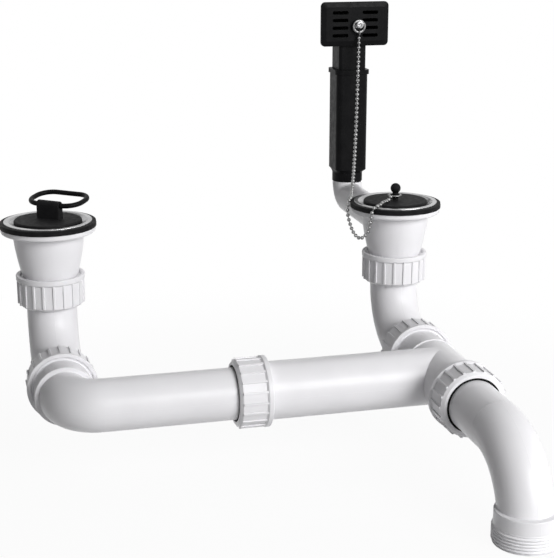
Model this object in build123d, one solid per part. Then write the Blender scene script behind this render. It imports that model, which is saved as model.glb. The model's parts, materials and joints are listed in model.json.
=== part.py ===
from build123d import *
from math import cos, sin, cosh, radians, hypot, sqrt
import os

# Double sink waste with a telescopic overflow, in millimetres.
# The origin is the centre of the right waste on the sink's floor. +X runs along
# the cross pipe to the right, +Y goes back to the overflow and +Z is up.

# Layout
waste_spacing = 292.0
cross_setback = 117.0
cross_drop = 113.5
port_reach = 61.0
branch_reach = 159.0
outlet_reach = 167.0
outlet_drop = 62.0

# Pipes
pipe_d = 40.0
pipe_wall = 2.0
bend_radius = 45.0
elbow_radius = 24.0
outlet_radius = 54.0
outlet_thread = 14.0
outlet_collar = 10.0
outlet_collar_height = 2.8
outlet_collar_round = 0.8

# Threaded sockets that take a plain pipe end
socket_depth = 20.0
socket_wall = 2.2
slip_gap = 0.2
stop_gap = 0.3
stop_step = 1.2
thread_height = 1.5
thread_length = 16.0
shoulder_height = 1.1
shoulder_width = 2.5
tee_shoulder = 19.5
end_chamfer = 0.8

# Coupling nuts
nut_length = 25.5
nut_engage = 17.0
nut_wall = 1.95
nut_rim_flare = 1.5
nut_rim_width = 3.6
nut_ribs = 20
nut_rib_width = 1.7
nut_rib_height = 1.0
nut_end_taper = 2.2
nut_mouth_bevel = 0.9
nut_round = 0.7
thread_gap = 0.15
nut_hole_gap = 0.5

# Seals inside the nuts
seal_base = 4.0
seal_lip = 1.5
seal_gap = 0.1
washer_thickness = 3.0

# Waste cup
cup_rim_d = 75.0
cup_rim_thickness = 4.5
cup_rim_round = 1.8
cup_clear = 1.4
cup_wall = 2.2
cup_bulge = 0.9
cup_neck_d = 43.8
cup_thread = 15.3
cup_face_depth = 58.3
cup_insert = 16.0
cup_ledge = 2.0
spider_boss_d = 12.0
spider_height = 10.0
spider_web = 3.0
spider_arms = 3

# Rubber rings round the sink hole
gasket_d = 76.0
gasket_thickness = 1.7
cup_seal_d = 76.5
cup_seal_thickness = 2.2

# Pressed steel flange
flange_d = 70.0
flange_sheet = 0.9
flange_rim_width = 3.6
flange_seat_d = 54.6
flange_seat_depth = 4.2
flange_throat_d = 48.0
flange_throat_depth = 8.7
flange_draft = 0.8
flange_round = 0.8
flange_floor_depth = 14.7
strainer_hole_d = 6.2
strainer_ring_d = 22.0
strainer_holes = 8
strainer_outer_hole_d = 5.0
strainer_outer_ring_d = 36.0
strainer_outer_holes = 14

# Clamp screw
screw_d = 6.0
screw_gap = 0.1
screw_head_d = 12.0
screw_head_height = 2.4

# Plugs
plug_proud = 0.8
plug_edge_gap = 0.3
plug_seat_gap = 1.0
plug_disc_round = 1.4
plug_floor_gap = 2.5
plug_body_gap = 0.25
knob_d = 8.6
knob_height = 9.8
knob_stem_d = 5.0
lug_width = 21.0
lug_thickness = 6.8
lug_round = 0.9
lug_hole_height = 11.0
lug_set_back = 3.0
ring_wire_d = 4.0
ring_width = 50.0
ring_depth = 32.0
ring_corner = 14.0
ring_tilt = 8.0
ring_plug_turn = -39.0
ring_hole_gap = 0.3

# Overflow
spout_depth = 21.8
spout_bore_d = 19.6
spout_wall = 2.0
spout_length = 20.0
spout_collar_width = 3.0
spout_collar_clear = 2.0
duct_wall = 1.8
duct_gap = 0.1
duct_corner = 15.0
duct_spigot = 9.0
overflow_setback = 138.0
sleeve_width = 29.6
sleeve_corner = 5.0
sleeve_wall = 1.7
sleeve_base_height = 1.5
sleeve_shoulder = 3.4
sleeve_top_height = 98.0
sleeve_lip = 1.4
sleeve_lip_height = 4.0
neck_wall = 2.2
tab_width = 8.0
tab_thickness = 1.6
tab_length = 9.0
tab_angle = -69.0
tube_gap = 0.3
tube_wall = 1.6
tube_clear = 26.0
plate_width = 63.6
plate_height = 39.5
plate_thickness = 3.5
plate_corner = 4.0
plate_level = 140.0
plate_bevel_width = 4.6
plate_bevel_depth = 1.1
plate_bevel_corner = 1.5
plate_edge_round = 0.6
slot_width = 15.0
slot_height = 3.0
slot_pitch = 6.8
slot_rows = 4
slot_offset = 14.0
overflow_gasket_thickness = 2.2
overflow_gasket_margin = 4.0
head_side_margin = 8.0
head_end_margin = 5.0
head_depth = 25.6
head_wall = 2.0
head_corner = 3.0
stud_x = 2.5
stud_head_d = 7.0
stud_head_height = 2.4
stud_head_round = 1.5
stud_neck_d = 3.8
stud_neck = 3.4
stud_collar_d = 7.8
stud_collar = 2.0
stud_shank_d = 5.0
stud_shank_length = 16.0
head_boss_d = 9.0

# Ball chain
bead_d = 3.2
bead_pitch = 4.3
link_d = 1.0
link_play = 0.05
chain_gap = 0.25
bead_sides = 10
end_ring_d = 12.4
end_ring_wire_d = 2.2
hook_d = 5.8
hook_wire_d = 1.2
tie_ring_d = 11.6
tie_ring_wire_d = 1.6
tie_ring_height = 4.0
catenary_scale = 42.0
catenary_low = 4.0
hang_steps = 8
rest_angle = 157.0
loop_start_angle = 166.0
loop_low_angle = 206.0
loop_end_angle = 227.0
loop_drop = 24.0
loop_drift = 4.0

# Worked out from the sizes above
pipe_r = pipe_d / 2
pipe_bore_r = pipe_r - pipe_wall
socket_r = pipe_r + slip_gap
tee_bore_r = socket_r - stop_step
socket_out_r = socket_r + socket_wall
thread_r = socket_out_r + thread_height
window_r = pipe_r + seal_lip + 2 * seal_gap
axis_z = -cross_drop
left_x = -waste_spacing
rim_top = gasket_thickness + flange_sheet
plug_top = rim_top + plug_proud
floor_z = rim_top - flange_floor_depth
throat_r = flange_throat_d / 2
floor_r = throat_r - flange_draft
dish_r = flange_d / 2 - flange_rim_width
mouth_r = dish_r + flange_sheet
plug_r = flange_seat_d / 2 - plug_edge_gap
cup_top = -cup_seal_thickness
cup_under = cup_top - cup_rim_thickness
cup_top_r = throat_r + flange_sheet + cup_clear + cup_wall
ledge_z = cup_insert + cup_ledge - cup_face_depth
spout_z = -spout_depth
spout_bore_r = spout_bore_d / 2
spout_r = spout_bore_r + spout_wall
collar_reach = cup_rim_d / 2 + spout_collar_clear
spout_reach = collar_reach + spout_length
duct_r = spout_r + duct_gap + duct_wall
duct_top = spout_z + duct_corner
neck_r = spout_r + duct_gap + neck_wall
tube_width = sleeve_width - 2 * (sleeve_wall + tube_gap)
tube_corner = sleeve_corner - sleeve_wall - tube_gap
head_front = overflow_setback - tube_width / 2
plate_back = head_front - overflow_gasket_thickness
plate_front = plate_back - plate_thickness
head_width = plate_width - 2 * head_side_margin
head_height = plate_height - 2 * head_end_margin
head_base = plate_level - head_height / 2


def turned(points):
    """A solid of revolution about Z from (radius, height) points. A third number rounds that corner."""
    outline = make_face(Polyline(*[(p[0], 0, p[1]) for p in points], close=True))
    for r, z, rounding in [p for p in points if len(p) == 3]:
        corner = outline.vertices().sort_by_distance((r, 0, z))[0]
        outline = fillet(corner, rounding)
    return revolve(outline, Axis.Z)


def cylinder(radius, low, high):
    return Pos(0, 0, low) * extrude(Circle(radius), amount=high - low)


def tube(outer, inner, low, high):
    return Pos(0, 0, low) * extrude(Circle(outer) - Circle(inner), amount=high - low)


def toward(origin, direction):
    """The place whose own Z axis starts at origin and points along direction."""
    return Plane(origin, z_dir=direction).location


def rod(points, radius, corner):
    """A round bar along straight runs joined by arcs."""
    path = FilletPolyline(*points, radius=corner)
    return sweep(Plane(path @ 0, z_dir=path % 0) * Circle(radius), path=path)


def male_end():
    """Outside of a threaded socket, with its face at Z 0 and the pipe leaving along +Z."""
    return turned([(0, -thread_length), (thread_r, -thread_length), (thread_r, -end_chamfer),
                   (thread_r - end_chamfer, 0), (0, 0)])


def socket_bore():
    """The room for a plain pipe end inside a threaded socket."""
    return cylinder(socket_r, -socket_depth, 0)


def shoulder_ring(reach, start):
    """A moulded ring that stands start away from the axis that the socket leaves."""
    low = start - reach
    ring_r = socket_out_r + shoulder_height
    high = low + shoulder_width
    crown = shoulder_height / 2
    return turned([(0, low), (ring_r, low, crown), (ring_r, high, crown), (0, high)])


def nut(hole_r, inner_end):
    """A ribbed nut on a threaded socket: its wide rim at -nut_engage, its hole at the far end."""
    bore_r = thread_r + thread_gap
    low = -nut_engage
    high = nut_length - nut_engage
    body_r = bore_r + nut_wall
    rim_r = body_r + nut_rim_flare
    body = turned([(bore_r, low + nut_mouth_bevel), (bore_r + nut_mouth_bevel, low), (rim_r, low, nut_round),
                   (rim_r, low + nut_rim_width, nut_round), (body_r, low + nut_rim_width + nut_rim_flare),
                   (body_r, high - nut_end_taper, nut_round), (body_r - nut_end_taper, high, nut_round),
                   (hole_r, high), (hole_r, inner_end), (bore_r, inner_end)])
    rib_low = low + nut_rim_width
    rib_length = high - nut_end_taper - rib_low
    rib = Pos(body_r, 0, rib_low + rib_length / 2) * Box(2 * nut_rib_height, nut_rib_width, rib_length)
    return body + PolarLocations(0, nut_ribs) * rib


def cone_seal():
    """The rubber ring in a coupling nut: a base on the socket's face and a lip out of the nut."""
    outer_r = thread_r + thread_gap - seal_gap
    lip_r = window_r - seal_gap
    inner_r = pipe_r + seal_gap
    return turned([(inner_r, 0), (outer_r, 0), (outer_r, seal_base), (lip_r, seal_base),
                   (lip_r, nut_length - nut_engage), (inner_r, nut_length - nut_engage)])


def flat_washer():
    return tube(thread_r + thread_gap - seal_gap, pipe_r + seal_gap, 0, washer_thickness)


def flange():
    """A pressed dish with a flat rim, a seat for the plug and a strainer floor."""
    s = flange_sheet
    seat_z = rim_top - flange_seat_depth
    throat_z = rim_top - flange_throat_depth
    top = [(flange_d / 2, rim_top, 0.4 * s), (dish_r, rim_top, flange_round),
           (flange_seat_d / 2, seat_z, flange_round), (throat_r, throat_z, flange_round),
           (floor_r, floor_z, flange_round), (0, floor_z)]
    under = [(0, floor_z - s), (floor_r + s, floor_z - s, flange_round), (throat_r + s, throat_z - s / 2),
             (flange_seat_d / 2 + s, seat_z - s / 2), (dish_r + s / 2, rim_top - s),
             (flange_d / 2, rim_top - s)]
    holes = Circle(screw_d / 2 + screw_gap)
    holes += PolarLocations(strainer_ring_d / 2, strainer_holes) * Circle(strainer_hole_d / 2)
    outer_ring = PolarLocations(strainer_outer_ring_d / 2, strainer_outer_holes)
    holes += outer_ring * Circle(strainer_outer_hole_d / 2)
    return turned(top + under) - Pos(0, 0, floor_z - 2 * s) * extrude(holes, amount=3 * s)


def clamp_screw():
    return (cylinder(screw_head_d / 2, floor_z, floor_z + screw_head_height)
            + cylinder(screw_d / 2, ledge_z, floor_z))


def funnel(top_r, top_z, low_r, low_z, rest):
    """A solid with a gently bulging funnel between two levels, closed by the rest of its outline."""
    middle = Vector((top_r + low_r) / 2, 0, (top_z + low_z) / 2)
    outward = Vector(top_z - low_z, 0, low_r - top_r).normalized()
    side = ThreePointArc((top_r, 0, top_z), middle + outward * cup_bulge, (low_r, 0, low_z))
    others = Polyline((low_r, 0, low_z), *[(r, 0, z) for r, z in rest], (top_r, 0, top_z))
    return revolve(make_face(Curve() + [side, others]), Axis.Z)


def cup(with_spout):
    """A moulded cup: broad rim, funnel, threaded socket and a three-armed bridge for the clamp screw."""
    face_z = -cup_face_depth
    neck_z = face_z + cup_thread
    stop_z = ledge_z - cup_ledge
    neck_r = cup_neck_d / 2
    rim_r = cup_rim_d / 2
    top_bore_r = cup_top_r - cup_wall
    neck_bore_r = neck_r - cup_wall
    outside = funnel(cup_top_r, cup_under, neck_r, neck_z,
                     [(thread_r, neck_z), (thread_r, face_z + end_chamfer), (thread_r - end_chamfer, face_z),
                      (0, face_z), (0, cup_under)])
    outside += turned([(0, cup_top), (rim_r, cup_top), (rim_r, cup_under, cup_rim_round), (0, cup_under)])
    hollow = funnel(top_bore_r, cup_under, neck_bore_r, ledge_z + neck_bore_r - pipe_bore_r,
                    [(pipe_bore_r, ledge_z), (pipe_bore_r, stop_z), (socket_r, stop_z), (socket_r, face_z),
                     (0, face_z), (0, cup_under)])
    hollow += turned([(0, cup_top), (mouth_r, cup_top), (top_bore_r, cup_under), (0, cup_under)])
    bridge = cylinder(spider_boss_d / 2, ledge_z, ledge_z + spider_height)
    arm = Pos(rim_r / 2, 0, ledge_z + spider_height / 2) * Box(rim_r, spider_web, spider_height)
    bridge += PolarLocations(0, spider_arms, start_angle=-90) * arm
    bridge = bridge & outside
    bridge -= cylinder(screw_d / 2 + screw_gap, ledge_z - 1, ledge_z + spider_height + 1)
    if not with_spout:
        return outside - hollow + bridge
    back = toward((0, 0, spout_z), (0, 1, 0))
    spout = back * cylinder(spout_r, 0, spout_reach)
    spout += back * cylinder(duct_r, collar_reach - spout_collar_width, collar_reach)
    body = outside + spout - hollow
    return body - back * cylinder(spout_bore_r, 0, spout_reach) + bridge


def plug_blank():
    """A rubber plug: a round-edged disc over a tapered body that sits in the flange's throat."""
    disc_low = rim_top - flange_seat_depth + plug_seat_gap
    body_low = floor_z + screw_head_height + plug_floor_gap
    disc = cylinder(plug_r, disc_low, plug_top)
    disc = fillet(disc.edges().filter_by(GeomType.CIRCLE), plug_disc_round)
    return disc + cylinder(floor_r - plug_body_gap, body_low, disc_low)


def ring_plug():
    """The plug with a lug that the pull ring hangs in."""
    tip_r = lug_thickness / 2
    hole_z = plug_top + lug_hole_height
    side = toward((-lug_width / 2, lug_set_back, hole_z), (1, 0, 0))
    web = Box(lug_width, lug_thickness, lug_hole_height)
    web = Pos(0, lug_set_back, plug_top + lug_hole_height / 2) * web
    lug = web + side * cylinder(tip_r, 0, lug_width)
    ends = lug.faces().filter_by(Axis.X).edges()
    lug = fillet(ends.filter_by(lambda edge: edge.center().Z > plug_top + lug_round), lug_round)
    hole = side * cylinder(ring_wire_d / 2 + ring_hole_gap, -1, lug_width + 1)
    return plug_blank() + lug - hole


def pull_ring():
    """A rounded oblong ring of round section, lying back from the lug with its bar in the hole."""
    wide = ring_width - ring_wire_d
    deep = ring_depth - ring_wire_d
    corner = min(ring_corner - ring_wire_d / 2, 0.48 * deep)
    path = RectangleRounded(wide, deep, corner).wire()
    start = path @ 0
    ring = sweep(Plane(start, z_dir=path % 0) * Circle(ring_wire_d / 2), path=path)
    lying = Rot(ring_tilt, 0, 0) * Pos(0, deep / 2, 0) * ring
    return Pos(0, lug_set_back, plug_top + lug_hole_height) * lying


def knob_plug():
    """The plug with a ball on a stem for the chain."""
    stem = cylinder(knob_stem_d / 2, plug_top, plug_top + knob_height)
    return plug_blank() + stem + Pos(0, 0, plug_top + knob_height) * Sphere(knob_d / 2)


def plain_bend():
    """A plain 90 degree bend from the cup's socket down and forward into the next socket."""
    top = (0, 0, -cup_face_depth + cup_insert - stop_gap)
    corner = (0, 0, axis_z)
    front = (0, -cross_setback + port_reach - socket_depth + stop_gap, axis_z)
    run = [top, corner, front]
    return rod(run, pipe_r, bend_radius) - rod(run, pipe_bore_r, bend_radius)


def cross_pipe():
    """Threaded socket facing the left bend, tight elbow and straight pipe into the tee's branch."""
    mouth = (left_x, -cross_setback + port_reach, axis_z)
    corner = (left_x, -cross_setback, axis_z)
    far = (-branch_reach + socket_depth - stop_gap, -cross_setback, axis_z)
    run = [mouth, corner, far]
    place = toward(mouth, (0, 1, 0))
    body = rod(run, pipe_r, elbow_radius)
    body += place * (cylinder(socket_out_r, elbow_radius - port_reach, 0) + male_end()
                     + shoulder_ring(port_reach, elbow_radius))
    return body - rod(run, pipe_bore_r, elbow_radius) - place * socket_bore()


def outlet_tee():
    """Tee with sockets to the back, to the front and along the branch."""
    centre = (0, -cross_setback, axis_z)
    ports = [toward((0, -cross_setback + port_reach, axis_z), (0, 1, 0)),
             toward((0, -cross_setback - port_reach, axis_z), (0, -1, 0)),
             toward((-branch_reach, -cross_setback, axis_z), (-1, 0, 0))]
    reaches = [port_reach, port_reach, branch_reach]
    body = Part()
    bore = Part()
    for place, reach in zip(ports, reaches):
        body += place * (cylinder(socket_out_r, -reach, 0) + male_end())
        bore += place * (cylinder(tee_bore_r, -reach, 0) + socket_bore())
    body += Pos(*centre) * Sphere(socket_out_r)
    body += ports[0] * shoulder_ring(port_reach, tee_shoulder)
    return body - bore


def outlet_bend():
    """Plain spigot, long bend down, then a collar and a male pipe thread."""
    back = (0, -cross_setback - port_reach + socket_depth - stop_gap, axis_z)
    corner = (0, -cross_setback - outlet_reach, axis_z)
    foot = (0, -cross_setback - outlet_reach, axis_z - outlet_drop)
    run = [back, corner, foot]
    place = toward(foot, (0, 0, -1))
    body = rod(run, pipe_r, outlet_radius)
    collar_r = pipe_r + outlet_collar_height
    collar_low = -outlet_thread - outlet_collar
    collar = turned([(0, collar_low), (collar_r, collar_low, outlet_collar_round), (collar_r, -outlet_thread),
                     (0, -outlet_thread)])
    threaded_end = turned([(0, -outlet_thread), (thread_r, -outlet_thread), (thread_r, -end_chamfer),
                           (thread_r - end_chamfer, 0), (0, 0)])
    body += place * (collar + threaded_end)
    return body - rod(run, pipe_bore_r, outlet_radius)


def square_bar(width, corner, low, high):
    return Pos(0, overflow_setback, low) * extrude(RectangleRounded(width, width, corner), amount=high - low)


def overflow_elbow():
    """A tight elbow pushed over the cup's spout, with a spigot turned up for the sleeve."""
    start = collar_reach + duct_gap
    run = [(0, start, spout_z), (0, overflow_setback, spout_z), (0, overflow_setback, duct_top + duct_spigot)]
    axis = Pos(0, overflow_setback, 0)
    body = rod(run, duct_r, duct_corner) - axis * cylinder(2 * duct_r, duct_top, duct_top + duct_spigot)
    body += axis * cylinder(spout_r, duct_top - duct_gap, duct_top + duct_spigot)
    body -= rod(run, spout_bore_r, duct_corner)
    socket = toward((0, start, spout_z), (0, 1, 0)) * cylinder(spout_r + duct_gap, 0, spout_length)
    return body - socket


def overflow_sleeve():
    """The square outer tube: lip on top, tapered shoulder, round neck over the elbow's spigot."""
    low = duct_top + duct_gap
    base = sleeve_base_height
    full = base + sleeve_shoulder
    inner = sleeve_width - 2 * sleeve_wall
    axis = Pos(0, overflow_setback, 0)
    body = square_bar(sleeve_width, sleeve_corner, full, sleeve_top_height)
    body += square_bar(sleeve_width + 2 * sleeve_lip, sleeve_corner + sleeve_lip,
                       sleeve_top_height - sleeve_lip_height, sleeve_top_height)
    body += axis * loft([Pos(0, 0, base) * Circle(neck_r),
                         Pos(0, 0, full) * RectangleRounded(sleeve_width, sleeve_width, sleeve_corner)])
    body += axis * cylinder(neck_r, low, base)
    tab = Pos(neck_r, 0, low + tab_length / 2) * Box(2 * tab_thickness, tab_width, tab_length)
    body += axis * Rot(0, 0, tab_angle) * tab
    hollow = square_bar(inner, sleeve_corner - sleeve_wall, full, sleeve_top_height)
    return body - hollow - axis * cylinder(spout_r + duct_gap, low, full)


def plate_face(width, height, corner, y):
    """A rounded oblong in the plate's plane, drawn on the side that faces the front."""
    front = Plane((0, y, plate_level), x_dir=(1, 0, 0), z_dir=(0, -1, 0))
    return front * RectangleRounded(width, height, corner)


def slot_outline(y):
    rows = GridLocations(2 * slot_offset, slot_pitch, 2, slot_rows)
    flat = Sketch() + rows * SlotOverall(slot_width, slot_height)
    return Plane((0, y, plate_level), x_dir=(1, 0, 0), z_dir=(0, -1, 0)) * flat


def stud_hole(start, end):
    place = toward((stud_x, start, plate_level), (0, 1, 0))
    return place * cylinder(stud_shank_d / 2 + screw_gap, 0, end - start)


def overflow_plate():
    """The grille that shows in the sink: a bevelled border round rows of slots."""
    bevel_y = plate_front + plate_bevel_depth
    inner_width = plate_width - 2 * plate_bevel_width
    inner_height = plate_height - 2 * plate_bevel_width
    base = extrude(plate_face(plate_width, plate_height, plate_corner, plate_back),
                   amount=plate_thickness - plate_bevel_depth)
    border = loft([plate_face(plate_width, plate_height, plate_corner, bevel_y),
                   plate_face(inner_width, inner_height, plate_bevel_corner, plate_front)], ruled=True)
    plate = base + border
    edge = plate.edges().filter_by_position(Axis.Y, bevel_y - 0.01, bevel_y + 0.01)
    plate = fillet(edge, plate_edge_round)
    plate -= extrude(slot_outline(plate_back), amount=plate_thickness)
    return plate - stud_hole(plate_front, plate_back)


def overflow_gasket():
    outer = plate_face(plate_width - overflow_gasket_margin, plate_height - overflow_gasket_margin,
                       plate_corner, head_front)
    inner = plate_face(head_width - 2 * head_wall, head_height - 2 * head_wall, head_corner, head_front)
    return extrude(outer - inner, amount=overflow_gasket_thickness)


def overflow_head():
    """The box behind the sink wall, open to the grille, with the inner tube of the telescope below."""
    back_y = head_front + head_depth
    box = extrude(plate_face(head_width, head_height, head_corner, back_y), amount=head_depth)
    room = extrude(plate_face(head_width - 2 * head_wall, head_height - 2 * head_wall,
                              head_corner, back_y - head_wall), amount=head_depth - head_wall)
    low = sleeve_base_height + sleeve_shoulder + tube_clear
    leg = square_bar(tube_width, tube_corner, low, head_base + head_wall)
    way = square_bar(tube_width - 2 * tube_wall, tube_corner - tube_wall / 2, low, head_base + head_wall)
    boss = toward((stud_x, head_front, plate_level), (0, 1, 0)) * cylinder(head_boss_d / 2, 0, head_depth)
    body = box - room + leg - way + boss
    return body - stud_hole(head_front, head_front + stud_shank_length)


def stud():
    """The screw that holds the grille to the head, with a grooved head that the chain's ring hangs in."""
    tip = -stud_collar - stud_neck - stud_head_height
    groove = -stud_collar - stud_neck
    screw = turned([(0, tip), (stud_head_d / 2, tip, stud_head_round), (stud_head_d / 2, groove),
                    (stud_neck_d / 2, groove), (stud_neck_d / 2, -stud_collar),
                    (stud_collar_d / 2, -stud_collar), (stud_collar_d / 2, 0), (stud_shank_d / 2, 0),
                    (stud_shank_d / 2, stud_shank_length), (0, stud_shank_length)])
    return toward((stud_x, plate_front, plate_level), (0, 1, 0)) * screw


def end_ring_centre():
    """Where the chain's end ring hangs in the stud's groove."""
    sag = end_ring_d / 2 - end_ring_wire_d - stud_neck_d / 2 - chain_gap
    return Vector(stud_x, plate_front - stud_collar - stud_neck / 2, plate_level - sag)


def hook_centre():
    """The small link between the end ring and the first bead."""
    ring_low = (end_ring_d - end_ring_wire_d) / 2
    hang = hook_d / 2 - hook_wire_d - end_ring_wire_d / 2 - chain_gap
    return end_ring_centre() - Vector(0, 0, ring_low + hang)


def rim_point(angle, radius, height):
    return Vector(radius * cos(radians(angle)), radius * sin(radians(angle)), height)


def tie_ring():
    """The small wire ring round the knob's stem that the chain ends on."""
    ring_r = (tie_ring_d - tie_ring_wire_d) / 2
    shift = ring_r - tie_ring_wire_d / 2 - knob_stem_d / 2 - chain_gap
    centre = rim_point(loop_end_angle, shift, plug_top + tie_ring_height)
    return Pos(*centre) * Torus(ring_r, tie_ring_wire_d / 2)


def over_edge(angle, drift):
    """Steps of the chain from the steel rim out over the rubber's edge, drifting round by a few degrees."""
    bead_r = bead_d / 2
    steel_r = flange_d / 2
    edge_r = cup_seal_d / 2 + bead_r + chain_gap
    steps = [(steel_r - bead_r, rim_top + bead_r + chain_gap),
             (steel_r + bead_r, rim_top + bead_r),
             (edge_r - bead_r / 2, gasket_thickness + bead_r - chain_gap),
             (edge_r + chain_gap, -chain_gap)]
    return [rim_point(angle + drift * i / 3, r, z) for i, (r, z) in enumerate(steps)]


def chain_loop():
    """The slack that hangs under the rim: a skewed curve down to its lowest point and up again."""
    loop_r = cup_seal_d / 2 + bead_d / 2 + 2 * chain_gap
    steps = [(loop_start_angle, share) for share in (0.6, 0.3, 0)]
    steps += [(loop_end_angle, 0.5)]
    points = []
    for side_angle, share in steps:
        angle = loop_low_angle + (side_angle - loop_low_angle) * share
        points.append(rim_point(angle, loop_r, -loop_drop * (1 - share ** 2)))
    return points


def chain_route():
    """From the stud in a hanging curve to the rubber's edge, over it in a loop and back up to the knob."""
    bead_r = bead_d / 2
    start = hook_centre() - Vector(0, 0, hook_d / 2 + bead_r + chain_gap)
    on_plug = plug_top + bead_r + 2 * chain_gap
    land = rim_point(rest_angle, gasket_d / 2 - chain_gap, gasket_thickness + bead_r + chain_gap)
    span = hypot(start.X - land.X, start.Y - land.Y)

    def hang(along):
        return land.Z + catenary_scale * (cosh((along - catenary_low) / catenary_scale)
                                          - cosh(catenary_low / catenary_scale))

    points = [start]
    for step in range(1, hang_steps):
        share = step / hang_steps
        along = span * (1 - share)
        height = hang(along) + (start.Z - hang(span)) * (along / span) ** 3
        across = start + (land - start) * share
        points.append(Vector(across.X, across.Y, height))
    points.append(land)
    points += over_edge(loop_start_angle, loop_drift)[2:]
    points += chain_loop()
    points += reversed(over_edge(loop_end_angle, -loop_drift))
    points += [rim_point(loop_end_angle, share * plug_r, on_plug) for share in (1, 0.75, 0.55)]
    ring_end = tie_ring_d - tie_ring_wire_d / 2 - knob_stem_d / 2 - chain_gap
    points.append(rim_point(loop_end_angle, ring_end + chain_gap + bead_r, plug_top + tie_ring_height))
    return Spline(*points)


def bead_on_link(step):
    """One bead in one piece with the link that reaches to the next bead, with flats round it."""
    bead_r = bead_d / 2
    link_r = link_d / 2
    levels = [(bead_r * cos(radians(a)), bead_r * sin(radians(a))) for a in (-65, -33, 0, 33)]
    levels += [(link_r, sqrt(bead_r ** 2 - link_r ** 2)), (link_r, step - bead_r)]
    return loft([Pos(0, 0, z) * RegularPolygon(r, bead_sides) for r, z in levels], ruled=True)


def wire_ring(outer_d, wire_d):
    """A ring of eight-sided wire about Z."""
    section = Plane.XZ * Pos((outer_d - wire_d) / 2, 0) * RegularPolygon(wire_d / 2, 8)
    return revolve(section, Axis.Z)


def plug_chain():
    """Beads along the route, hung by a small link on the ring at the stud."""
    route = chain_route()
    count = int(route.length / bead_pitch)
    step = route.length / count
    centres = [route.position_at(i * step, position_mode=PositionMode.LENGTH) for i in range(count + 1)]
    chain = []
    for here, there in zip(centres, centres[1:]):
        reach = there - here
        chain.append(toward(here, reach) * bead_on_link(reach.length - link_play))
    chain.append(Pos(*centres[-1]) * bead_on_link(bead_d))
    chain.append(Pos(*end_ring_centre()) * Rot(90, 0, 0) * wire_ring(end_ring_d, end_ring_wire_d))
    chain.append(Pos(*hook_centre()) * Rot(0, 90, 0) * wire_ring(hook_d, hook_wire_d))
    return Compound(chain)


def at_left(shape):
    return Pos(left_x, 0, 0) * shape


coupling_nut = nut(window_r, seal_base)
waste_nut = nut(pipe_r + nut_hole_gap, washer_thickness)
seal = cone_seal()
gasket = tube(gasket_d / 2, mouth_r, 0, gasket_thickness)
cup_seal = tube(cup_seal_d / 2, mouth_r, -cup_seal_thickness, 0)
waste_place = toward((0, 0, -cup_face_depth), (0, 0, -1))
bend_place = toward((0, -cross_setback + port_reach, axis_z), (0, 1, 0))
branch_place = toward((-branch_reach, -cross_setback, axis_z), (-1, 0, 0))
outlet_place = toward((0, -cross_setback - port_reach, axis_z), (0, -1, 0))
bend = plain_bend()
dish = flange()
screw = clamp_screw()

nodes = {
    "left_plug": at_left(Rot(0, 0, ring_plug_turn) * ring_plug()),
    "left_plug_ring": at_left(Rot(0, 0, ring_plug_turn) * pull_ring()),
    "left_flange": at_left(dish),
    "left_flange_gasket": at_left(gasket),
    "left_cup_seal": at_left(cup_seal),
    "left_cup": at_left(cup(False)),
    "left_waste_nut": at_left(waste_place * waste_nut),
    "left_waste_washer": at_left(waste_place * flat_washer()),
    "left_bend": at_left(bend),
    "left_bend_nut": at_left(bend_place * coupling_nut),
    "left_bend_seal": at_left(bend_place * seal),
    "cross_pipe": cross_pipe(),
    "tee_branch_nut": branch_place * coupling_nut,
    "tee_branch_seal": branch_place * seal,
    "outlet_tee": outlet_tee(),
    "outlet_nut": outlet_place * coupling_nut,
    "outlet_seal": outlet_place * seal,
    "outlet_bend": outlet_bend(),
    "right_plug": knob_plug(),
    "right_flange": dish,
    "right_flange_gasket": gasket,
    "right_cup_seal": cup_seal,
    "right_cup": cup(True),
    "right_waste_nut": waste_place * waste_nut,
    "right_waste_washer": waste_place * flat_washer(),
    "right_bend": bend,
    "right_bend_nut": bend_place * coupling_nut,
    "right_bend_seal": bend_place * seal,
    "clamp_screws": Compound([screw, at_left(screw)]),
    "overflow_elbow": overflow_elbow(),
    "overflow_sleeve": overflow_sleeve(),
    "overflow_head": overflow_head(),
    "overflow_gasket": overflow_gasket(),
    "overflow_plate": overflow_plate(),
    "overflow_screw": stud(),
    "plug_chain": plug_chain(),
    "chain_tie_ring": tie_ring(),
}

os.makedirs("parts", exist_ok=True)
for name, shape in nodes.items():
    export_step(shape, f"parts/{name}.step")
    print(name, len(shape.solids()), round(shape.volume), shape.bounding_box())
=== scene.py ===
import json
from math import cos, radians, sin, tau

import bmesh
import bpy
import numpy as np
from mathutils import Matrix, Vector


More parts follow.
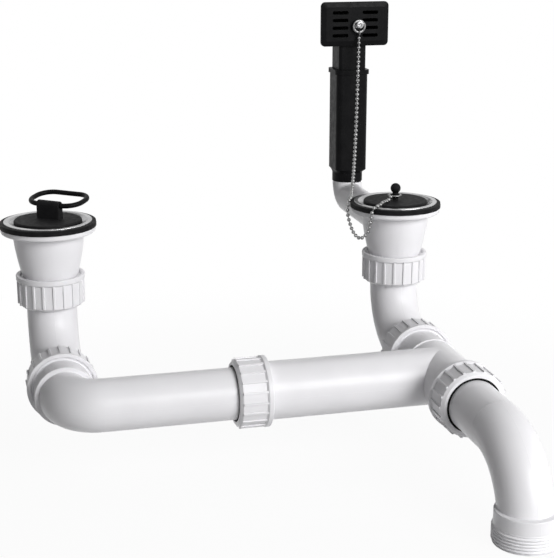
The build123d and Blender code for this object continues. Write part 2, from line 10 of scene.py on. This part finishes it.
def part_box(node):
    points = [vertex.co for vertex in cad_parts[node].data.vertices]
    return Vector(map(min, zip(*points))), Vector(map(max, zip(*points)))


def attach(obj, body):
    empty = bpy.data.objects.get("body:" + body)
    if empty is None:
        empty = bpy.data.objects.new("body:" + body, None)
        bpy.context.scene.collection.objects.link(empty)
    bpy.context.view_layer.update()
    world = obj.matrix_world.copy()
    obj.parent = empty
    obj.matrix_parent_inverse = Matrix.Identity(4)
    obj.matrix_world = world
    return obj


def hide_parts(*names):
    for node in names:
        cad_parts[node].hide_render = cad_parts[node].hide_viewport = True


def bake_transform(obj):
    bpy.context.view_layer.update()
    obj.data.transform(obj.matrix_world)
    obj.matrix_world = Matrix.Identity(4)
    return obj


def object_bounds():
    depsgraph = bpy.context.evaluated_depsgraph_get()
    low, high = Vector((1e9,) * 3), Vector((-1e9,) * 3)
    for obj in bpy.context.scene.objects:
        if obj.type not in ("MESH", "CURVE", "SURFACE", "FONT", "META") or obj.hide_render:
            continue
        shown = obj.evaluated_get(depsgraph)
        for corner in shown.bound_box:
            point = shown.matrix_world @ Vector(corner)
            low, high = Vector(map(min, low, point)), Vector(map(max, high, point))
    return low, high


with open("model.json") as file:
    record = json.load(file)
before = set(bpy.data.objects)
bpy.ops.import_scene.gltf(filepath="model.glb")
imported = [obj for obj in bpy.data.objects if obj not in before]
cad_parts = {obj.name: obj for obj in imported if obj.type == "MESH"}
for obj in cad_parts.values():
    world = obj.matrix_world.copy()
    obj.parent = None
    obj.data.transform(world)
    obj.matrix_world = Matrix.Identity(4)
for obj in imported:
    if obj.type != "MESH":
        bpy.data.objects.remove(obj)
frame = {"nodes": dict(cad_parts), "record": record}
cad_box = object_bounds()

# A double sink waste with a telescopic overflow, dressed on its solids, in metres.
nodes = frame["nodes"]
slot_of = {part["node"]: part["material_slot"] for part in frame["record"]["subparts"]}
X, Y, Z = range(3)

# The photograph's frame and where its camera stood
image_width, image_height = 554, 558
focal_pixels = 1335.1
sensor_size = 0.036
camera_turn = radians(14.3)
camera_tilt = radians(15.8)
camera_distance = 1.0
camera_target = Vector((-0.1334, -0.1169, -0.0254))

# Outlet bend and the thread on its end
outlet_bend_r = 0.054
thread_crest_r = 0.0239
thread_root_r = 0.0227
thread_pitch = 0.00231
thread_length = 0.014
thread_chamfer = 0.0008
thread_runout = 0.6
thread_columns = 144
thread_rows_per_turn = 10
thread_level_slack = 1e-5
thread_root_slack = 2e-5

# How far the light rounds off sharp edges, and the angle above which an edge stays sharp
edge_rounding = 0.0004
edge_rounding_samples = 4
sharp_edge = radians(32)
sharp_chain_edge = radians(50)

# The band of a noise that carries its spread of colour or roughness
noise_low, noise_high = 0.3, 0.7

# Marks of the mould, each with half its width and its height: the seam of the two halves, and
# the ring where the bend's core was drawn
mould_seam = (0.00028, 0.00007)
core_ring = (0.0007, 0.0004)

# Cross recess in the overflow's stud
recess_length = 0.0034
recess_width = 0.0009
recess_depth = 0.0011

# Chain: its beads, their links and its rings
link_r = 0.0005
link_segments = 10
bead_segments = 20
bead_rows = 12
bead_widest_share = 0.98
ring_flatness = 0.4
ring_segments = 48
wire_segments = 16
same_corner = 1e-6

# White surroundings: their strength as light on the object, and where they are seen or mirrored
surroundings_light = 0.03
surroundings_seen = 1.0

# Floor, and its share of plain white, which grows between two distances from the object
floor_size = 12
floor_gap = 0.0005
floor_grey = 0.62
floor_roughness = 0.9
floor_near, floor_far = 0.2, 0.55
floor_white_near, floor_white_far = 0.95, 1.0

# Lamps, each with its way from the camera's target to the right, up and forward, its size and its power
lamps = {"key": ((1.2, 0.45, -1.55), (1.3, 1.0), 40),
         "side": ((1.4, 0.3, 0.1), (0.8, 0.8), 2.5),
         "top": ((0.2, 1.4, 0.3), (1.2, 0.8), 3),
         "back": ((0.1, 0.3, 1.6), (1.2, 0.8), 12)}
unmirrored_lamps = ["back"]


def new_material(name, colour, roughness, metallic=0.0):
    """A principled material with its constant values on its own sockets."""
    material = bpy.data.materials.new(name)
    material.use_nodes = True
    shader = material.node_tree.nodes["Principled BSDF"]
    shader.inputs["Base Color"].default_value = (*colour, 1)
    shader.inputs["Roughness"].default_value = roughness
    shader.inputs["Metallic"].default_value = metallic
    return material, shader


def add_node(material, kind, **inputs):
    """A new node, with the given values on its inputs."""
    node = material.node_tree.nodes.new(kind)
    for name, value in inputs.items():
        node.inputs[name.replace("_", " ")].default_value = value
    return node


def add_math(material, kind, operation):
    """A new Math or Vector Math node for one operation."""
    node = add_node(material, kind)
    node.operation = operation
    return node


def link(material, source, target):
    material.node_tree.links.new(source, target)


def own_place(material):
    """The place on the part in its own coordinates, which are metres."""
    return add_node(material, "ShaderNodeTexCoord").outputs["Object"]


def noise(material, scale, detail):
    texture = add_node(material, "ShaderNodeTexNoise", Scale=scale, Detail=detail)
    link(material, own_place(material), texture.inputs["Vector"])
    return texture.outputs["Fac"]


def vary_colour(material, shader, factor, dark, light):
    ramp = add_node(material, "ShaderNodeValToRGB")
    stops = ramp.color_ramp.elements
    stops[0].position, stops[1].position = noise_low, noise_high
    stops[0].color, stops[1].color = (*dark, 1), (*light, 1)
    link(material, factor, ramp.inputs["Fac"])
    link(material, ramp.outputs["Color"], shader.inputs["Base Color"])


def vary_roughness(material, shader, factor, low, high):
    spread = add_node(material, "ShaderNodeMapRange", From_Min=noise_low, From_Max=noise_high,
                      To_Min=low, To_Max=high)
    link(material, factor, spread.inputs["Value"])
    link(material, spread.outputs["Result"], shader.inputs["Roughness"])


def add_bump(material, shader, relief):
    """Softened edges, and bump from one or more signals, each with its strength and height."""
    rounded = add_node(material, "ShaderNodeBevel", Radius=edge_rounding)
    rounded.samples = edge_rounding_samples
    normal = rounded.outputs["Normal"]
    for signal, strength, height in relief:
        bump = add_node(material, "ShaderNodeBump", Strength=strength, Distance=height)
        link(material, signal, bump.inputs["Height"])
        link(material, normal, bump.inputs["Normal"])
        normal = bump.outputs["Normal"]
    link(material, normal, shader.inputs["Normal"])


def ridge_on_plane(material, axis, place, half_width):
    """A narrow ridge round the piece, on a plane across the given axis."""
    parts = add_node(material, "ShaderNodeSeparateXYZ")
    link(material, own_place(material), parts.inputs[0])
    off_plane = add_math(material, "ShaderNodeMath", "SUBTRACT")
    off_plane.inputs[1].default_value = place
    link(material, parts.outputs[axis], off_plane.inputs[0])
    distance = add_math(material, "ShaderNodeMath", "ABSOLUTE")
    link(material, off_plane.outputs[0], distance.inputs[0])
    ridge = add_node(material, "ShaderNodeMapRange", From_Max=half_width, To_Min=1.0, To_Max=0.0)
    ridge.interpolation_type = "SMOOTHSTEP"
    link(material, distance.outputs[0], ridge.inputs["Value"])
    return ridge.outputs["Result"]


def white_plastic(name, marks=()):
    """Satin moulded plastic: faint flow marks, fine grain, a soft gloss and the mould's marks."""
    material, shader = new_material(name, (0.845, 0.838, 0.86), 0.34)
    flow = noise(material, scale=38, detail=4)
    vary_colour(material, shader, flow, (0.825, 0.818, 0.84), (0.855, 0.848, 0.868))
    vary_roughness(material, shader, noise(material, scale=160, detail=5), 0.28, 0.4)
    relief = [(noise(material, scale=120, detail=2), 0.05, 0.0004),
              (noise(material, scale=2600, detail=2), 0.05, 0.0004)]
    for axis, place, (half_width, height) in marks:
        relief.append((ridge_on_plane(material, axis, place, half_width), 1.0, height))
    add_bump(material, shader, relief)
    shader.inputs["Specular IOR Level"].default_value = 0.34
    return material


def black_plastic():
    """Black moulding with a fine spark-eroded grain that keeps it dull."""
    material, shader = new_material("black_plastic", (0.005, 0.005, 0.0055), 0.42)
    shade = noise(material, scale=90, detail=4)
    vary_colour(material, shader, shade, (0.003, 0.003, 0.0035), (0.007, 0.007, 0.0075))
    vary_roughness(material, shader, noise(material, scale=240, detail=4), 0.34, 0.5)
    add_bump(material, shader, [(noise(material, scale=3200, detail=2), 0.09, 0.0003)])
    shader.inputs["Specular IOR Level"].default_value = 0.06
    return material


def black_rubber():
    """Matt rubber with a faint pale bloom."""
    material, shader = new_material("black_rubber", (0.006, 0.006, 0.0065), 0.65)
    bloom = noise(material, scale=130, detail=6)
    vary_colour(material, shader, bloom, (0.004, 0.004, 0.0045), (0.010, 0.010, 0.0105))
    vary_roughness(material, shader, noise(material, scale=300, detail=5), 0.56, 0.74)
    add_bump(material, shader, [(noise(material, scale=1800, detail=3), 0.12, 0.0003)])
    shader.inputs["Specular IOR Level"].default_value = 0.1
    return material


def turned_steel(name, centre_x):
    """Stainless steel polished round the waste's own axis, so that its fine lines are circles."""
    material, shader = new_material(name, (0.42, 0.42, 0.425), 0.27, 1.0)
    off_axis = add_math(material, "ShaderNodeVectorMath", "MULTIPLY_ADD")
    off_axis.inputs[1].default_value = (1, 1, 0)
    off_axis.inputs[2].default_value = (-centre_x, 0, 0)
    link(material, own_place(material), off_axis.inputs[0])
    radius = add_math(material, "ShaderNodeVectorMath", "LENGTH")
    link(material, off_axis.outputs["Vector"], radius.inputs[0])
    rings = add_node(material, "ShaderNodeTexNoise", Scale=2600, Detail=3)
    rings.noise_dimensions = "1D"
    link(material, radius.outputs["Value"], rings.inputs["W"])
    tone = noise(material, scale=60, detail=4)
    vary_colour(material, shader, tone, (0.36, 0.36, 0.365), (0.48, 0.48, 0.485))
    vary_roughness(material, shader, rings.outputs["Fac"], 0.2, 0.36)
    add_bump(material, shader, [(rings.outputs["Fac"], 0.12, 0.0002)])
    return material


def plain_steel():
    """Plain bright steel for the screws."""
    material, shader = new_material("screw_steel", (0.40, 0.40, 0.405), 0.25, 1.0)
    tone = noise(material, scale=300, detail=4)
    vary_colour(material, shader, tone, (0.34, 0.34, 0.345), (0.46, 0.46, 0.465))
    vary_roughness(material, shader, noise(material, scale=900, detail=4), 0.18, 0.34)
    add_bump(material, shader, [(noise(material, scale=2400, detail=3), 0.06, 0.0002)])
    return material


def chain_steel():
    """Bright plated beads with a little tarnish."""
    material, shader = new_material("chain_steel", (0.22, 0.22, 0.22), 0.2, 1.0)
    tarnish = noise(material, scale=420, detail=4)
    vary_colour(material, shader, tarnish, (0.15, 0.15, 0.15), (0.29, 0.29, 0.29))
    vary_roughness(material, shader, noise(material, scale=1500, detail=3), 0.14, 0.3)
    add_bump(material, shader, [(noise(material, scale=2600, detail=2), 0.05, 0.0002)])
    return material


def paint(obj, material):
    obj.data.materials.clear()
    obj.data.materials.append(material)


def node_middle(name):
    low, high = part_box(name)
    return (low + high) / 2


left_x = node_middle("left_flange").x
pipe_z = node_middle("cross_pipe").z
outlet_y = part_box("outlet_bend")[0].y + thread_crest_r

# Marks on the mouldings that come out of a split mould, each as the axis across the mark, its place
# and its kind
mould_marks = {"right_bend": [(X, 0.0, mould_seam)], "left_bend": [(X, left_x, mould_seam)],
               "right_cup": [(Y, 0.0, mould_seam)], "left_cup": [(Y, 0.0, mould_seam)],
               "cross_pipe": [(Z, pipe_z, mould_seam)], "outlet_tee": [(Z, pipe_z, mould_seam)],
               "outlet_bend": [(X, 0.0, mould_seam), (Y, outlet_y + outlet_bend_r, core_ring)]}


def paint_nodes():
    """Paints each node with its slot's material, or with one that is fitted to the piece."""
    plain = {"white_plastic": white_plastic("white_plastic"), "black_plastic": black_plastic(),
             "black_rubber": black_rubber(), "stainless_steel": plain_steel(), "chain_steel": chain_steel()}
    fitted = {"right_flange": turned_steel("right_turned_steel", 0.0),
              "left_flange": turned_steel("left_turned_steel", left_x)}
    for name, marks in mould_marks.items():
        fitted[name] = white_plastic("white_" + name, marks)
    for name, node in nodes.items():
        slot = slot_of[name]
        paint(node, fitted.get(name, plain[slot]))


def stand_in(name, mesh, node):
    """A new piece for the place of a node, with the node's own material."""
    piece = bpy.data.objects.new(name, mesh)
    bpy.context.scene.collection.objects.link(piece)
    paint(piece, nodes[node].data.materials[0])
    return piece


def smooth(mesh, angle):
    """Smooth shading that keeps the edges sharper than the angle."""
    mesh.shade_smooth()
    mesh.set_sharp_from_angle(angle=angle)


def thread_radius(turn, height):
    """Radius of a rounded thread at a place round the pipe, with run-outs at both ends."""
    phase = (height / thread_pitch - turn) % 1.0
    wave = 0.5 - 0.5 * cos(tau * phase)
    flank = wave * wave * (3 - 2 * wave)
    to_end = max(0.0, thread_length - height)
    fade = min(1.0, height / thread_pitch, to_end / (thread_runout * thread_pitch))
    radius = thread_root_r + (thread_crest_r - thread_root_r) * flank * fade
    return min(radius, thread_crest_r - thread_chamfer + to_end)


def threaded_outlet():
    """The outlet bend with a real thread in the place of its plain threaded end."""
    axis = Vector((0, outlet_y))
    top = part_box("outlet_bend")[0].z + thread_length
    mesh = nodes["outlet_bend"].data.copy()
    body = bmesh.new()
    body.from_mesh(mesh)

    def on_thread(vertex):
        reach = (vertex.co.xy - axis).length
        return vertex.co.z < top + thread_level_slack and reach > thread_root_r - thread_root_slack

    plain_end = [face for face in body.faces if all(on_thread(vertex) for vertex in face.verts)]
    bmesh.ops.delete(body, geom=plain_end, context="FACES")
    rows = int(thread_rows_per_turn * thread_length / thread_pitch)
    rings = []
    for row in range(rows + 1):
        height = thread_length * row / rows
        ring = []
        for column in range(thread_columns):
            turn = column / thread_columns
            radius = thread_radius(turn, height)
            place = (axis.x + radius * cos(tau * turn), axis.y + radius * sin(tau * turn), top - height)
            ring.append(body.verts.new(place))
        rings.append(ring)
    for upper, lower in zip(rings, rings[1:]):
        for column in range(thread_columns):
            after = (column + 1) % thread_columns
            body.faces.new((upper[column], lower[column], lower[after], upper[after]))
    body.to_mesh(mesh)
    body.free()
    smooth(mesh, sharp_edge)
    outlet = stand_in("threaded_outlet_bend", mesh, "outlet_bend")
    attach(outlet, "waste")
    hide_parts("outlet_bend")


def recessed_stud():
    """The overflow's stud with a cross recess for the screwdriver in its head."""
    front = node_middle("overflow_screw")
    front.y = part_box("overflow_screw")[0].y
    stud = stand_in("recessed_overflow_stud", nodes["overflow_screw"].data.copy(), "overflow_screw")
    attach(stud, "overflow_slide")
    cutters = []
    for width, height in ((recess_length, recess_width), (recess_width, recess_length)):
        bpy.ops.mesh.primitive_cube_add(size=1, location=front)
        cutter = bpy.context.object
        cutter.scale = (width, 2 * recess_depth, height)
        cut = stud.modifiers.new("recess", "BOOLEAN")
        cut.operation = "DIFFERENCE"
        cut.object = cutter
        cutters.append(cutter)
    bpy.context.view_layer.update()
    shaped = bpy.data.meshes.new_from_object(stud.evaluated_get(bpy.context.evaluated_depsgraph_get()))
    stud.modifiers.clear()
    stud.data = shaped
    smooth(shaped, sharp_edge)
    for cutter in cutters:
        bpy.data.objects.remove(cutter)
    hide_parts("overflow_screw")


def shells(mesh):
    """The corner points of each loose shell of a mesh."""
    body = bmesh.new()
    body.from_mesh(mesh)
    bmesh.ops.remove_doubles(body, verts=body.verts, dist=same_corner)
    waiting = set(body.verts)
    found = []
    while waiting:
        queue = [waiting.pop()]
        shell = []
        while queue:
            vertex = queue.pop()
            shell.append(vertex.co[:])
            joined = {edge.other_vert(vertex) for edge in vertex.link_edges} & waiting
            waiting -= joined
            queue += joined
        found.append(np.array(shell))
    body.free()
    return found


def add_bead(body, points):
    """A round bead and its link in the place of a flat-sided one."""
    middle = points.mean(axis=0)
    axis = np.linalg.svd(points - middle, full_matrices=False)[2][0]
    along = (points - middle) @ axis
    outward = np.linalg.norm(points - middle - np.outer(along, axis), axis=1)
    widest = along[outward > bead_widest_share * outward.max()].mean()
    if widest > (along.min() + along.max()) / 2:
        axis, along, widest = -axis, -along, -widest
    centre = Vector(middle + widest * axis)
    reach = float(along.max() - widest)
    turn = Vector(axis).to_track_quat("Z", "Y").to_matrix().to_4x4()
    bmesh.ops.create_uvsphere(body, u_segments=bead_segments, v_segments=bead_rows,
                              radius=float(outward.max()), matrix=Matrix.Translation(centre) @ turn)
    bmesh.ops.create_cone(body, cap_ends=True, segments=link_segments, radius1=link_r, radius2=link_r,
                          depth=reach, matrix=Matrix.Translation(centre + Vector(axis) * reach / 2) @ turn)


def add_wire_ring(body, points):
    """A round wire ring in the place of a flat-sided one, across the axis on which it is thinnest."""
    size = np.ptp(points, axis=0)
    centre = Vector((points.min(axis=0) + points.max(axis=0)) / 2)
    across = int(size.argmin())
    wire_r = float(size[across]) / 2
    ring_r = float(size.max()) / 2 - wire_r
    axes = [Vector(row) for row in np.eye(3)]
    normal, first, second = (axes[(across + step) % 3] for step in range(3))
    loops = []
    for step in range(ring_segments):
        angle = tau * step / ring_segments
        outward = cos(angle) * first + sin(angle) * second
        loop = []
        for corner in range(wire_segments):
            turn = tau * corner / wire_segments
            place = centre + (ring_r + wire_r * cos(turn)) * outward + wire_r * sin(turn) * normal
            loop.append(body.verts.new(place))
        loops.append(loop)
    for loop, after in zip(loops, loops[1:] + loops[:1]):
        for corner in range(wire_segments):
            beside = (corner + 1) % wire_segments
            body.faces.new((loop[corner], after[corner], after[beside], loop[beside]))


def hanging_chain():
    """The chain with round beads in the place of its flat-sided ones."""
    body = bmesh.new()
    for points in shells(nodes["plug_chain"].data):
        size = np.ptp(points, axis=0)
        if size.min() < ring_flatness * size.max():
            add_wire_ring(body, points)
        else:
            add_bead(body, points)
    mesh = bpy.data.meshes.new("hanging_ball_chain")
    body.to_mesh(mesh)
    body.free()
    smooth(mesh, sharp_chain_edge)
    chain = stand_in("hanging_ball_chain", mesh, "plug_chain")
    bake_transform(chain)
    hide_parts("plug_chain")


def photo_camera():
    """The camera where the photograph's stood, and its directions right, up and forward."""
    forward = Vector((sin(camera_turn) * cos(camera_tilt), cos(camera_turn) * cos(camera_tilt),
                      -sin(camera_tilt)))
    data = bpy.data.cameras.new("photo_camera")
    data.sensor_width = sensor_size * 1000
    data.lens = sensor_size * 1000 * focal_pixels / max(image_width, image_height)
    data.clip_start = 0.01
    holder = bpy.data.objects.new("photo_camera", data)
    holder.location = camera_target - camera_distance * forward
    holder.rotation_euler = forward.to_track_quat("-Z", "Y").to_euler()
    bpy.context.scene.collection.objects.link(holder)
    bpy.context.scene.camera = holder
    right = forward.cross(Vector((0, 0, 1))).normalized()
    return right, right.cross(forward), forward


def seen_or_reflected(tree):
    """1 where a ray comes from the camera or off a mirror, and 0 for the light that falls on the object."""
    path = tree.nodes.new("ShaderNodeLightPath")
    total = path.outputs["Is Camera Ray"]
    for kind in ("Is Glossy Ray", "Is Transmission Ray"):
        both = tree.nodes.new("ShaderNodeMath")
        both.operation = "MAXIMUM"
        tree.links.new(total, both.inputs[0])
        tree.links.new(path.outputs[kind], both.inputs[1])
        total = both.outputs[0]
    return total


def white_surroundings():
    world = bpy.data.worlds.new("studio")
    bpy.context.scene.world = world
    world.use_nodes = True
    tree = world.node_tree
    background = tree.nodes["Background"]
    background.inputs["Color"].default_value = (1, 1, 1, 1)
    strength = tree.nodes.new("ShaderNodeMapRange")
    strength.inputs["To Min"].default_value = surroundings_light
    strength.inputs["To Max"].default_value = surroundings_seen
    tree.links.new(seen_or_reflected(tree), strength.inputs["Value"])
    tree.links.new(strength.outputs["Result"], background.inputs["Strength"])


def paler_outward(material):
    """The floor's share of plain white, which grows to all of it away from the object's shadow."""
    away = add_math(material, "ShaderNodeVectorMath", "DISTANCE")
    away.inputs[1].default_value = (camera_target.x, camera_target.y, 0)
    link(material, own_place(material), away.inputs[0])
    share = add_node(material, "ShaderNodeMapRange", From_Min=floor_near, From_Max=floor_far,
                     To_Min=floor_white_near, To_Max=floor_white_far)
    share.interpolation_type = "SMOOTHSTEP"
    link(material, away.outputs["Value"], share.inputs["Value"])
    return share.outputs["Result"]


def white_floor():
    """A plain floor that looks white and keeps the object's shadow."""
    bpy.ops.mesh.primitive_plane_add(size=floor_size, location=(0, 0, cad_box[0].z - floor_gap))
    floor = bpy.context.object
    floor.name = "floor"
    material, shader = new_material("floor", (floor_grey, floor_grey, floor_grey), floor_roughness)
    tree = material.node_tree
    glow = add_node(material, "ShaderNodeEmission", Strength=1.0)
    mix = add_node(material, "ShaderNodeMixShader")
    share = add_math(material, "ShaderNodeMath", "MULTIPLY")
    link(material, seen_or_reflected(tree), share.inputs[0])
    link(material, paler_outward(material), share.inputs[1])
    link(material, share.outputs[0], mix.inputs["Fac"])
    link(material, shader.outputs["BSDF"], mix.inputs[1])
    link(material, glow.outputs["Emission"], mix.inputs[2])
    link(material, mix.outputs["Shader"], tree.nodes["Material Output"].inputs["Surface"])
    floor.data.materials.append(material)


def area_light(name, place, size, power):
    """A soft lamp that faces the camera's target."""
    data = bpy.data.lights.new(name, "AREA")
    data.shape = "RECTANGLE"
    data.size, data.size_y = size
    data.energy = power
    lamp = bpy.data.objects.new(name, data)
    lamp.location = place
    lamp.rotation_euler = (camera_target - place).to_track_quat("-Z", "Y").to_euler()
    lamp.visible_glossy = name not in unmirrored_lamps
    bpy.context.scene.collection.objects.link(lamp)


def studio():
    """The camera, white surroundings, a white floor, and soft light that comes mostly from the right."""
    directions = photo_camera()
    white_surroundings()
    white_floor()
    for name, (way, size, power) in lamps.items():
        place = camera_target.copy()
        for distance, direction in zip(way, directions):
            place += distance * direction
        area_light(name, place, size, power)


paint_nodes()
threaded_outlet()
recessed_stud()
hanging_chain()
studio()
bpy.context.scene.view_settings.view_transform = "Standard"
